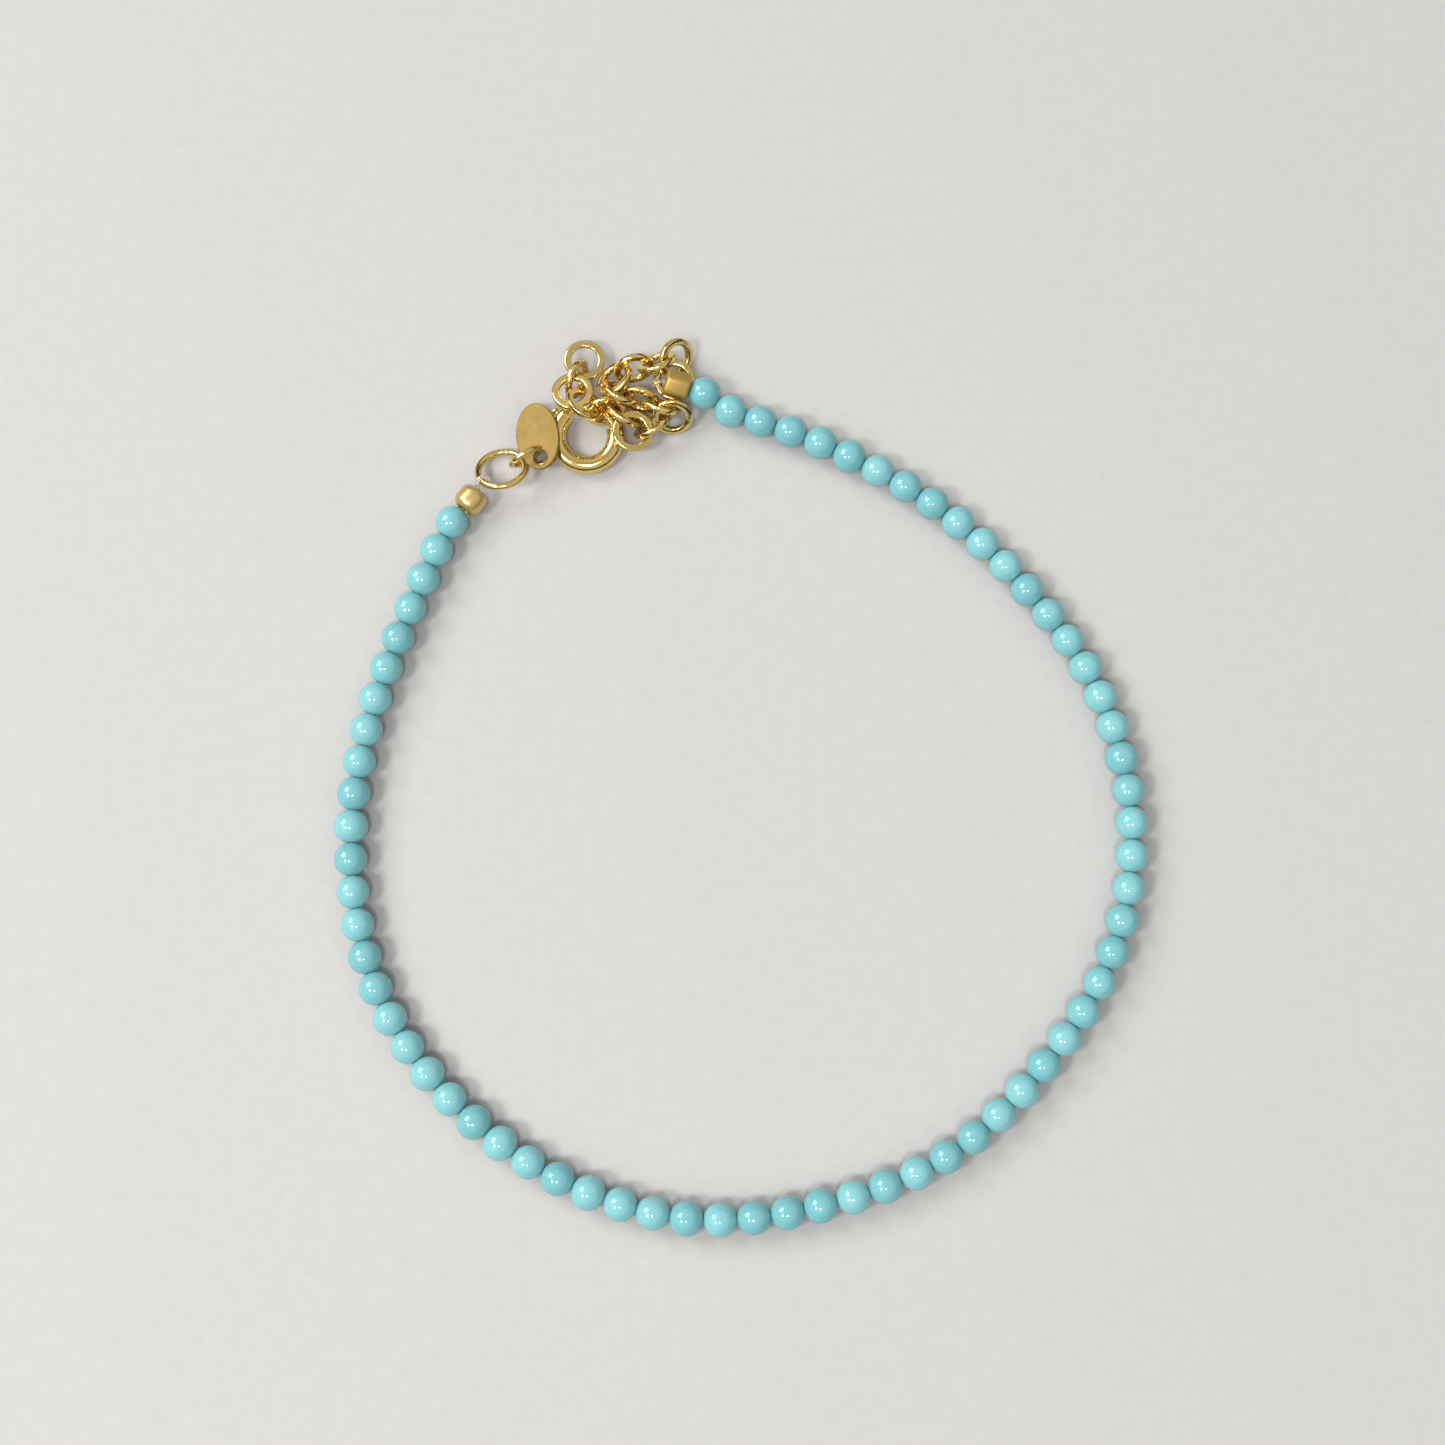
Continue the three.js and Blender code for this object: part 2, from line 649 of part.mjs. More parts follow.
const bracelet = new THREE.Group();
bracelet.add(
  beadString(),
  crimpBead("crimp_bead_right", 0),
  crimpBead("crimp_bead_left", 1),
  ring("jump_ring", JUMP_DIAMETER, JUMP_WIRE, WIRE_SIDES, JUMP_PLACE),
  ring("tag_ring", TAG_RING_DIAMETER, TAG_RING_WIRE, WIRE_SIDES, TAG_RING_PLACE),
  ovalTag(),
  clasp(),
  ...chain()
);

export default bracelet;
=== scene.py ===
"""The looks of a turquoise bead bracelet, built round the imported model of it.

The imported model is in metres, with +Z up and the clasp on the +Y side. Each piece is modelled
in millimetres at the origin, and put_in_place turns it into metres at its place.
"""

import json
import math
import random
from functools import cache

import bpy
import numpy as np
from mathutils import Matrix, Vector


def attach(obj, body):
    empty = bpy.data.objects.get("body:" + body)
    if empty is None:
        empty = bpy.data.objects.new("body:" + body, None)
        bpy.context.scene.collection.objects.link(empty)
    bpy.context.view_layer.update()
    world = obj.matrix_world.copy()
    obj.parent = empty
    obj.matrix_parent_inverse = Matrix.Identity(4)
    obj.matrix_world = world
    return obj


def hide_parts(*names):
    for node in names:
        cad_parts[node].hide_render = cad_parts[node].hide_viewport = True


# Millimetres to metres and back
TO_METRES = Matrix.Scale(0.001, 4)
MILLIMETRES = 1000

# Shaping: millimetres, and degrees between the two faces at an edge
MERGE_DISTANCE = 0.0005
NODE_DIGITS = 4
EDGE_ANGLE = 40
EDGE_SEGMENTS = 3
RIM_ANGLE = 60
SMOOTH_ANGLE = 35
FINE_SEGMENTS = 2
FULL_SEGMENTS = 4
HOLE_SIDES = 40

# Beads and thread, in millimetres
BEAD_COUNT = 68
BEAD_RADIUS = 1.3
BEAD_SEGMENTS = 32
BEAD_RINGS = 20
BEAD_RIM = 0.04
BEAD_RIM_ANGLE = 35
BEAD_SMOOTH_ANGLE = 50
BEAD_LENGTH_RANGE = (0.98, 0.995)
BEAD_WIDTH_RANGE = (0.95, 1.02)
THREAD_RADIUS = 0.14
THREAD_SIDES = 12
THREAD_POINTS = 240
THREAD_SPREAD = 0.16
THREAD_SPREAD_INSIDE = 0.1
THREAD_LOOP_RADIUS = 0.55
THREAD_LOOP_START = 40
THREAD_LOOP_STEPS = 24

# The string's route, from the right crimp bead clockwise to the left one, as the solids have it
STRING_ROUTE = [
    (-5.0, 30.4, 2.3),
    (-2.6, 29.8, 1.65),
    (-0.5, 28.4, 1.31),
    (1.9, 27.6, 1.31),
    (6.6, 25.8, 1.31),
    (15.3, 20.8, 1.31),
    (22.3, 14.0, 1.31),
    (27.5, 5.9, 1.31),
    (29.6, -4.0, 1.31),
    (27.8, -13.7, 1.31),
    (22.5, -21.9, 1.31),
    (15.1, -28.6, 1.31),
    (5.4, -32.2, 1.31),
    (-4.2, -33.0, 1.31),
    (-13.9, -30.0, 1.31),
    (-22.0, -24.0, 1.31),
    (-27.4, -16.1, 1.31),
    (-29.5, -6.3, 1.31),
    (-28.6, 3.2, 1.31),
    (-25.4, 12.9, 1.31),
    (-22.4, 19.6, 1.31),
    (-20.95, 21.4, 1.29),
]
ROUTE_SAMPLES = 4000
SHORTEST_SPAN = 1e-4

# Crimp beads
CRIMP_RADIUS = 1.15
CRIMP_LENGTH = 1.9
CRIMP_BORE = 0.6
CRIMP_GAP = 0.1
CRIMP_FACES = 6
CRIMP_FACE_ROUNDING = 0.22
CRIMP_BARREL_SIDES = 48
CRIMP_BARREL_ROUNDING = 0.6
CRIMP_BARREL_SEGMENTS = 8
CRIMP_BORE_ROUNDING = 0.06
CRIMP_SMOOTH_ANGLE = 30

# Chain links: a flat-sided wire with round corners
LINK_COUNT = 17
LINK_RADIUS = 1.335
LINK_WIDTH = 0.58
LINK_THICKNESS = 0.46
LINK_CORNER = 0.15
LINK_STEPS = 56

# Jump ring and tag ring: a round wire, cut once and closed; the cuts' places in degrees
JUMP_RADIUS = 1.875
JUMP_WIRE = 0.275
JUMP_CUT = 75
TAG_RING_RADIUS = 1.25
TAG_RING_WIRE = 0.225
TAG_RING_CUT = 200
CUT_WIDTH = 0.05
RING_STEPS = 72
WIRE_SIDES = 20

# Oval tag
TAG_WIDTH = 3.5
TAG_LENGTH = 5.3
TAG_THICKNESS = 0.4
TAG_HOLE = 1.15
TAG_HOLE_EDGE = 0.36
TAG_ROUNDING = 0.09
TAG_SIDES = 96

# Spring ring clasp: millimetres, and degrees counter-clockwise from +X
CLASP_RADIUS = 2.3
CLASP_TUBE = 0.7
CLASP_SIDES = 32
CLASP_END_ROUNDING = 0.08
GATE_WIRE = 0.375
GATE_BORE = 0.45
GATE_SIDES = 24
GATE_END_ROUNDING = 0.1
MOUTH_START = 15
MOUTH_END = 131
GATE_START = 8
GATE_END = 179
GATE_TRAVEL = 38
LEVER_ANGLE = 141
LEVER_ROUNDING = 0.12
LEVER_WIDTH = 0.5
LEVER_HEIGHT = 0.42
LEVER_REACH = 0.35
LEVER_CLEARANCE = 0.1
EYE_ANGLE = 200
EYE_RADIUS = 0.86
EYE_WIRE = 0.21
EYE_NECK = 0.1
BORE_END = 4
ARC_STEP = 3

# The camera, from the photograph: metres and degrees, and the lens and sensor in millimetres
CAMERA_AIM = Vector((-0.0014, 0.0041, 0.0))
CAMERA_DISTANCE = 0.15453
CAMERA_ELEVATION = 81
CAMERA_LENS = 50
CAMERA_SENSOR = 36
CAMERA_NEAR = 0.001

# The sky's brightness by height, from the horizon up: a dark room, a bright ring of windows,
# and a duller patch overhead
SKY_GREYS = [(0.0, 0.03), (0.25, 0.06), (0.45, 0.9), (0.8, 1.0), (0.97, 0.7)]
SKY_STRENGTH = 0.7

# The lights: name, direction, distance and size in metres, and watts. The two small ones give
# each bead its two glints, and the wide one and the sky fill the rest.
LIGHTS = [
    ("window_glint", (-0.516, -0.264, 0.813), 0.6, 0.13, 1.7),
    ("near_glint", (-0.05, -0.3, 0.93), 0.6, 0.1, 1.0),
    ("wide_left", (-0.9, 0.5, 0.9), 0.9, 0.45, 5.0),
]
FLOOR_SIZE = 2

# The finishes' unevenness, in waves a metre
STONE_CLOUDS = 1500
STONE_GLOSS = 3000
STONE_RIPPLES = 2500
PLATING_TONES = 900
PLATING_GLOSS = 4000
PLATING_DENTS = 1400
NYLON_GLOSS = 5000
FLOOR_TONES = 900

# The part of a noise's range over which a finish goes from its one tone to the other
RAMP_RANGE = (0.3, 0.7)

random.seed(7)


def deselect_all():
    """Leaves edit mode and selects nothing."""
    if bpy.context.object and bpy.context.object.mode != "OBJECT":
        bpy.ops.object.mode_set(mode="OBJECT")
    bpy.ops.object.select_all(action="DESELECT")


def only(obj):
    """Selects this object alone and makes it the active one."""
    deselect_all()
    obj.select_set(True)
    bpy.context.view_layer.objects.active = obj


def new_piece(name):
    """The object that an operator has just added, under its own name."""
    obj = bpy.context.object
    obj.name = name
    obj.data.name = name
    bpy.ops.object.transform_apply(location=True, rotation=True, scale=True)
    return obj


def edit(obj, mode="EDGE"):
    """Opens a piece in edit mode, with all of it selected."""
    only(obj)
    bpy.ops.object.mode_set(mode="EDIT")
    bpy.ops.mesh.select_mode(type=mode)
    bpy.ops.mesh.select_all(action="SELECT")


def end_edit(obj):
    """Merges what coincides, turns the faces outwards and leaves edit mode."""
    bpy.ops.mesh.select_all(action="SELECT")
    bpy.ops.mesh.remove_doubles(threshold=MERGE_DISTANCE)
    bpy.ops.mesh.normals_make_consistent(inside=False)
    bpy.ops.object.mode_set(mode="OBJECT")
    return obj


def apply_modifiers(obj):
    """Turns all of a piece's modifiers into mesh."""
    only(obj)
    for modifier in list(obj.modifiers):
        bpy.ops.object.modifier_apply(modifier=modifier.name)


def round_edges(obj, width, segments=EDGE_SEGMENTS, angle=EDGE_ANGLE):
    """Rounds the edges that are sharper than an angle in degrees."""
    bevel = obj.modifiers.new("rounding", "BEVEL")
    bevel.width = width
    bevel.segments = segments
    bevel.limit_method = "ANGLE"
    bevel.angle_limit = math.radians(angle)
    apply_modifiers(obj)


def shade(obj, angle=SMOOTH_ANGLE):
    """Shades a piece as smooth, but for its edges sharper than an angle in degrees."""
    only(obj)
    bpy.ops.object.shade_smooth_by_angle(angle=math.radians(angle))


def cut(obj, cutter, operation="DIFFERENCE"):
    """Cuts the second solid out of the first one, or joins it on, and removes it."""
    boolean = obj.modifiers.new("cut", "BOOLEAN")
    boolean.operation = operation
    boolean.solver = "EXACT"
    boolean.object = cutter
    apply_modifiers(obj)
    bpy.data.objects.remove(cutter)


def put_in_place(obj, matrix):
    """Puts a piece modelled in millimetres at its place in metres; matrix is in millimetres."""
    obj.data.transform(TO_METRES @ matrix)


def finish_piece(obj, material, body, slot, *nodes):
    """Gives a piece its material and body, and hides the CAD nodes that it stands for; slot is not
    used.
    """
    obj.data.materials.clear()
    obj.data.materials.append(material)
    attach(obj, body)
    if nodes:
        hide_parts(*nodes)


def copy_of(obj, name):
    """A copy of a piece, with a mesh of its own."""
    twin = obj.copy()
    twin.data = obj.data.copy()
    twin.name = name
    twin.data.name = name
    bpy.context.scene.collection.objects.link(twin)
    return twin


def frame_at(centre, axis, across=None):
    """A place: the origin goes to centre, +Z to axis and +X as near to across as it can."""
    z = Vector(axis).normalized()
    if across is None:
        turned = Vector((0, 0, 1)).rotation_difference(z).to_matrix().to_4x4()
    else:
        y = z.cross(Vector(across)).normalized()
        x = y.cross(z)
        turned = Matrix((x, y, z)).transposed().to_4x4()
    return Matrix.Translation(Vector(centre)) @ turned


def node_points(node):
    """A CAD node's corners, in millimetres, each once."""
    points = np.array([v.co for v in frame["nodes"][node].data.vertices]) * MILLIMETRES
    return np.unique(points.round(NODE_DIGITS), axis=0)


def ring_place(node):
    """The centre of a ring-shaped or flat CAD node and its axis, which points up."""
    points = node_points(node)
    centre = points.mean(axis=0)
    axis = np.linalg.svd(points - centre)[2][2]
    if axis[2] < 0:
        axis = -axis
    return Vector(centre), Vector(axis)


def spline_span(p0, p1, p2, p3, share):
    """A point between p1 and p2 of a centripetal spline through four points."""
    before = max((p1 - p0).length ** 0.5, SHORTEST_SPAN)
    middle = max((p2 - p1).length ** 0.5, SHORTEST_SPAN)
    after = max((p3 - p2).length ** 0.5, SHORTEST_SPAN)
    start = (p1 - p0) / before - (p2 - p0) / (before + middle) + (p2 - p1) / middle
    end = (p2 - p1) / middle - (p3 - p1) / (middle + after) + (p3 - p2) / after
    start *= middle
    end *= middle
    cubic = 2 * p1 - 2 * p2 + start + end
    square = 3 * p2 - 3 * p1 - 2 * start - end
    return p1 + share * (start + share * (square + share * cubic))


class StringLine:
    """The string's centre line, measured by its length from the right crimp bead."""

    def __init__(self, route):
        points = [Vector(p) for p in route]
        points = [2 * points[0] - points[1], *points, 2 * points[-1] - points[-2]]
        spans = len(points) - 3
        self.samples = []
        for i in range(ROUTE_SAMPLES + 1):
            place = spans * i / ROUTE_SAMPLES
            span = min(int(place), spans - 1)
            self.samples.append(spline_span(*points[span : span + 4], place - span))
        steps = [(b - a).length for a, b in zip(self.samples, self.samples[1:])]
        self.lengths = np.concatenate([[0], np.cumsum(steps)])
        self.length = self.lengths[-1]

    def at(self, length):
        """The point at this length, and the direction there."""
        i = int(np.searchsorted(self.lengths, length)) - 1
        i = min(max(i, 0), ROUTE_SAMPLES - 1)
        a, b = self.samples[i], self.samples[i + 1]
        share = (length - self.lengths[i]) / (self.lengths[i + 1] - self.lengths[i])
        return a.lerp(b, share), (b - a).normalized()


def bead_pitch():
    """The length of string for each bead."""
    return (string.length - CRIMP_LENGTH - 2 * CRIMP_GAP) / BEAD_COUNT


def drilled_bead():
    """A round bead with its drilled hole along Z and a small flat round each mouth."""
    bpy.ops.mesh.primitive_uv_sphere_add(
        segments=BEAD_SEGMENTS, ring_count=BEAD_RINGS, radius=BEAD_RADIUS
    )
    bead = new_piece("bead")
    edit(bead, "FACE")
    bpy.ops.mesh.select_all(action="DESELECT")
    bpy.ops.object.mode_set(mode="OBJECT")
    # The triangles round the poles go, and a wall joins the two round holes that they leave.
    for face in bead.data.polygons:
        face.select = len(face.vertices) == 3
    bpy.ops.object.mode_set(mode="EDIT")
    bpy.ops.mesh.delete(type="FACE")
    bpy.ops.mesh.select_all(action="SELECT")
    bpy.ops.mesh.region_to_loop()
    bpy.ops.mesh.bridge_edge_loops()
    end_edit(bead)
    flat = BEAD_RADIUS * math.cos(2 * math.pi / BEAD_RINGS)
    for corner in bead.data.vertices:
        corner.co.z = min(max(corner.co.z, -flat), flat)
    bead.data.transform(Matrix.Scale(bead_pitch() / (2 * flat), 4, (0, 0, 1)))
    round_edges(bead, BEAD_RIM, FINE_SEGMENTS, BEAD_RIM_ANGLE)
    return bead


def beads():
    """All the beads on the string, each a copy that is a little shorter or slimmer than round."""
    pattern = drilled_bead()
    pitch = bead_pitch()
    first = (CRIMP_LENGTH + pitch) / 2 + CRIMP_GAP
    row = []
    for i in range(BEAD_COUNT):
        centre, along = string.at(first + i * pitch)
        width = random.uniform(*BEAD_WIDTH_RANGE)
        size = Matrix.Diagonal((width, width, random.uniform(*BEAD_LENGTH_RANGE), 1))
        spin = Matrix.Rotation(random.uniform(0, 2 * math.pi), 4, "Z")
        bead = copy_of(pattern, f"bead_{i + 1:02d}")
        put_in_place(bead, frame_at(centre, along) @ spin @ size)
        tone = bead.data.attributes.new("tone", "FLOAT", "POINT")
        tone.data.foreach_set("value", [random.random()] * len(bead.data.vertices))
        row.append(bead)
    bpy.data.objects.remove(pattern)
    only(row[0])
    for bead in row:
        bead.select_set(True)
    bpy.ops.object.join()
    joined = bpy.context.object
    joined.name = "turquoise_beads"
    shade(joined, BEAD_SMOOTH_ANGLE)
    finish_piece(joined, turquoise(), "bracelet", "turquoise", "bead_string")


def tube_along(name, points, radius, sides=WIRE_SIDES):
    """A round tube through points, with closed ends, in millimetres."""
    bpy.ops.curve.primitive_nurbs_path_add()
    path = bpy.context.object
    path.name = name
    path.data.splines.clear()
    spline = path.data.splines.new("POLY")
    spline.points.add(len(points) - 1)
    for place, corner in zip(points, spline.points):
        corner.co = (*place, 1)
    path.data.bevel_depth = radius
    # A round section has four sides and two more for each step of its resolution.
    path.data.bevel_resolution = (sides - 4) // 2
    path.data.use_fill_caps = True
    only(path)
    bpy.ops.object.convert(target="MESH")
    tube = bpy.context.object
    edit(tube)
    return end_edit(tube)


def string_end(left):
    """The middle of the crimp bead at one end of the string, and the string's direction."""
    return string.at(string.length if left else 0)


def thread_end(left, node, radius):
    """The thread from a crimp bead's middle round a ring's wire and back, as a row of points."""
    crimp, along = string_end(left)
    outward = along if left else -along
    mouth = crimp + outward * (CRIMP_LENGTH / 2 + CRIMP_GAP)
    centre, axis = ring_place(node)
    to_mouth = mouth - centre
    radial = (to_mouth - axis * to_mouth.dot(axis)).normalized()
    wire = centre + radial * radius
    rise = (mouth - wire).normalized()
    side = radial.cross(axis).cross(rise).normalized()
    points = [crimp + side * THREAD_SPREAD_INSIDE, mouth + side * THREAD_SPREAD]
    loop_turn = 360 - 2 * THREAD_LOOP_START
    for i in range(THREAD_LOOP_STEPS + 1):
        angle = math.radians(THREAD_LOOP_START + loop_turn * i / THREAD_LOOP_STEPS)
        spoke = rise * math.cos(angle) + side * math.sin(angle)
        points.append(wire + spoke * THREAD_LOOP_RADIUS)
    points += [mouth - side * THREAD_SPREAD, crimp - side * THREAD_SPREAD_INSIDE]
    return points


def thread():
    """The clear thread inside the beads, with its loops at the two ends."""
    route = [string.at(string.length * i / THREAD_POINTS)[0] for i in range(THREAD_POINTS + 1)]
    strand = tube_along("thread", route, THREAD_RADIUS, THREAD_SIDES)
    held = [(False, "chain_link_01", LINK_RADIUS), (True, "jump_ring", JUMP_RADIUS)]
    for left, node, radius in held:
        route = thread_end(left, node, radius)
        loop = tube_along("thread_loop", route, THREAD_RADIUS, THREAD_SIDES)
        cut(strand, loop, "UNION")
    put_in_place(strand, Matrix())
    shade(strand)
    finish_piece(strand, clear_nylon(), "bracelet", "turquoise")


def crimp_bead(left, sides, rounding, segments, material):
    """A short barrel with a bore; few sides give it the flat faces of a pressed one."""
    node = "crimp_bead_left" if left else "crimp_bead_right"
    bpy.ops.mesh.primitive_cylinder_add(
        vertices=sides, radius=CRIMP_RADIUS, depth=CRIMP_LENGTH, end_fill_type="NGON"
    )
    barrel = new_piece(node + "_barrel")
    round_edges(barrel, rounding, segments)
    bpy.ops.mesh.primitive_cylinder_add(
        vertices=HOLE_SIDES, radius=CRIMP_BORE, depth=2 * CRIMP_LENGTH
    )
    cut(barrel, new_piece("bore"))
    round_edges(barrel, CRIMP_BORE_ROUNDING, FINE_SEGMENTS, RIM_ANGLE)
    centre, along = string_end(left)
    half_face = Matrix.Rotation(math.pi / sides, 4, "Z")
    put_in_place(barrel, frame_at(centre, along, (0, 0, 1)) @ half_face)
    shade(barrel, CRIMP_SMOOTH_ANGLE)
    finish_piece(barrel, material, "bracelet", "gold", node)


def spun_ring(name, radius, steps, gap=0.0):
    """Spins the active object's outline, which stands at +X, round Z; a gap leaves a cut there."""
    outline = bpy.context.object
    outline.name = name
    edit(outline)
    bpy.ops.mesh.delete(type="ONLY_FACE")
    bpy.ops.mesh.select_all(action="SELECT")
    turn = 2 * math.pi - gap / radius
    bpy.ops.mesh.spin(steps=steps, angle=turn, center=(0, 0, 0), axis=(0, 0, 1))
    if gap:
        bpy.ops.mesh.select_all(action="DESELECT")
        bpy.ops.mesh.select_non_manifold()
        bpy.ops.mesh.edge_face_add()
    return end_edit(outline)


def flat_outline(radius):
    """A flat wire's section, standing in the XZ plane at this distance from Z."""
    bpy.ops.mesh.primitive_plane_add(
        size=1, location=(radius, 0, 0), rotation=(math.pi / 2, 0, 0)
    )
    bpy.context.object.scale = (LINK_WIDTH, LINK_THICKNESS, 1)
    outline = new_piece("outline")
    edit(outline, "VERT")
    bpy.ops.mesh.bevel(
        offset=LINK_CORNER, offset_type="OFFSET", segments=FULL_SEGMENTS, affect="VERTICES"
    )
    bpy.ops.object.mode_set(mode="OBJECT")


def round_outline(radius, wire):
    """A circle that stands in the XZ plane at this distance from Z."""
    bpy.ops.mesh.primitive_circle_add(
        vertices=WIRE_SIDES,
        radius=wire,
        fill_type="NGON",
        location=(radius, 0, 0),
        rotation=(math.pi / 2, 0, 0),
    )
    new_piece("outline")


def chain():
    """The links, all copies of one, each at its node's place."""
    flat_outline(LINK_RADIUS)
    pattern = spun_ring("link", LINK_RADIUS, LINK_STEPS)
    shade(pattern)
    for i in range(LINK_COUNT):
        node = f"chain_link_{i + 1:02d}"
        link = copy_of(pattern, f"link_{i + 1:02d}")
        centre, axis = ring_place(node)
        spin = Matrix.Rotation(random.uniform(0, 2 * math.pi), 4, "Z")
        put_in_place(link, frame_at(centre, axis) @ spin)
        finish_piece(link, gold(), "bracelet", "gold", node)
    bpy.data.objects.remove(pattern)


def wire_ring(node, radius, wire, cut_angle):
    """A ring of round wire, with the cut where it was opened at an angle in degrees."""
    round_outline(radius, wire)
    ring = spun_ring(node + "_wire", radius, RING_STEPS, CUT_WIDTH)
    round_edges(ring, CUT_WIDTH / 2, FINE_SEGMENTS, RIM_ANGLE)
    centre, axis = ring_place(node)
    turn = Matrix.Rotation(math.radians(cut_angle), 4, "Z")
    put_in_place(ring, frame_at(centre, axis) @ turn)
    shade(ring)
    finish_piece(ring, gold(), "bracelet", "gold", node)


def oval_tag():
    """The bare oval plate with its hole: a disc 1 mm across, stretched, and laid as its node."""
    bpy.ops.mesh.primitive_cylinder_add(vertices=TAG_SIDES, radius=0.5, depth=TAG_THICKNESS)
    plate = new_piece("tag_plate")
    plate.data.transform(Matrix.Diagonal((TAG_WIDTH, TAG_LENGTH, 1, 1)))
    hole_y = -TAG_LENGTH / 2 + TAG_HOLE_EDGE + TAG_HOLE / 2
    bpy.ops.mesh.primitive_cylinder_add(
        vertices=HOLE_SIDES,
        radius=TAG_HOLE / 2,
        depth=3 * TAG_THICKNESS,
        location=(0, hole_y, 0),
    )
    cut(plate, new_piece("hole"))
    round_edges(plate, TAG_ROUNDING, FULL_SEGMENTS, RIM_ANGLE)
    centre, axis = ring_place("tag")
    spokes = node_points("tag") - np.array(centre)
    long_way = np.linalg.svd(spokes)[2][0]
    ends = spokes @ long_way
    # The hole's corners draw the mean towards the hole, so the other end is further off.
    if ends.max() < -ends.min():
        long_way = -long_way
    middle = centre + Vector(long_way) * (ends.max() + ends.min()) / 2
    across = Vector(long_way).cross(axis)
    put_in_place(plate, frame_at(middle, axis, across))
    shade(plate)
    finish_piece(plate, satin_gold(), "bracelet", "gold", "tag")


def arc_points(radius, start, end):
    """Points on an arc round Z, between two angles in degrees."""
    steps = max(2, math.ceil(abs(end - start) / ARC_STEP))
    angles = [math.radians(start + (end - start) * i / steps) for i in range(steps + 1)]
    return [Vector((radius * math.cos(a), radius * math.sin(a), 0)) for a in angles]


def block(name, low, high, angle=0.0):
    """A box between two corners, turned about Z by an angle in degrees."""
    middle = [(a + b) / 2 for a, b in zip(low, high)]
    bpy.ops.mesh.primitive_cube_add(size=1)
    box = new_piece(name)
    box.data.transform(Matrix.Diagonal((*[b - a for a, b in zip(low, high)], 1)))
    box.data.transform(Matrix.Translation(middle))
    box.data.transform(Matrix.Rotation(math.radians(angle), 4, "Z"))
    return box


def lever_slot():
    """The slot's cutter: a flat arc in the tube's outer wall."""
    margin = math.degrees(LEVER_WIDTH / 2 / CLASP_RADIUS) + BORE_END
    start = LEVER_ANGLE - margin
    end = LEVER_ANGLE + GATE_TRAVEL + margin
    height = LEVER_HEIGHT / 2 + LEVER_CLEARANCE
    bpy.ops.mesh.primitive_plane_add(size=1)
    slot = new_piece("slot")
    outline = arc_points(CLASP_RADIUS + 2 * CLASP_TUBE, start, end)
    outline += reversed(arc_points(CLASP_RADIUS, start, end))
    slot.data.clear_geometry()
    slot.data.from_pydata([(x, y, -height) for x, y, z in outline], [], [range(len(outline))])
    edit(slot, "FACE")
    bpy.ops.mesh.extrude_region_move(TRANSFORM_OT_translate={"value": (0, 0, 2 * height)})
    return end_edit(slot)


def clasp_place():
    """The clasp's place: its centre and its axis are those of the gate's joint."""
    joint = frame["joints"][0]
    return frame_at(Vector(joint["pos_m"]) * MILLIMETRES, joint["axis"])


def clasp_body():
    """The tube with its bores and the lever's slot, and the eye on its neck."""
    middle = arc_points(CLASP_RADIUS, MOUTH_END, MOUTH_START + 360)
    tube = tube_along("clasp_tube", middle, CLASP_TUBE, CLASP_SIDES)
    round_edges(tube, CLASP_END_ROUNDING, angle=RIM_ANGLE)
    bores = [
        (MOUTH_END - ARC_STEP, GATE_END + GATE_TRAVEL + BORE_END),
        (GATE_START - BORE_END, MOUTH_START + ARC_STEP),
    ]
    for start, end in bores:
        line = arc_points(CLASP_RADIUS, start, end)
        cut(tube, tube_along("bore", line, GATE_BORE, CLASP_SIDES))
    cut(tube, lever_slot())
    eye_distance = CLASP_RADIUS + CLASP_TUBE + EYE_NECK + EYE_RADIUS
    round_outline(EYE_RADIUS, EYE_WIRE)
    eye = spun_ring("eye", EYE_RADIUS, RING_STEPS)
    eye.data.transform(Matrix.Translation((eye_distance, 0, 0)))
    eye.data.transform(Matrix.Rotation(math.radians(EYE_ANGLE), 4, "Z"))
    neck = block(
        "neck",
        (CLASP_RADIUS + GATE_BORE, -EYE_WIRE, -EYE_WIRE),
        (eye_distance - EYE_RADIUS, EYE_WIRE, EYE_WIRE),
        EYE_ANGLE,
    )
    round_edges(neck, EYE_WIRE / 2)
    cut(tube, neck, "UNION")
    cut(tube, eye, "UNION")
    put_in_place(tube, clasp_place())
    shade(tube)
    finish_piece(tube, gold(), "bracelet", "gold", "clasp_body")


def clasp_gate():
    """The sprung wire that closes the clasp's mouth, with the lever that draws it back."""
    middle = arc_points(CLASP_RADIUS, GATE_START, GATE_END)
    wire = tube_along("gate_wire", middle, GATE_WIRE, GATE_SIDES)
    round_edges(wire, GATE_END_ROUNDING, angle=RIM_ANGLE)
    lever = block(
        "lever",
        (CLASP_RADIUS, -LEVER_WIDTH / 2, -LEVER_HEIGHT / 2),
        (CLASP_RADIUS + CLASP_TUBE + LEVER_REACH, LEVER_WIDTH / 2, LEVER_HEIGHT / 2),
        LEVER_ANGLE,
    )
    round_edges(lever, LEVER_ROUNDING, FULL_SEGMENTS)
    cut(wire, lever, "UNION")
    put_in_place(wire, clasp_place())
    shade(wire)
    finish_piece(wire, gold(), "clasp_gate", "gold", "clasp_gate")


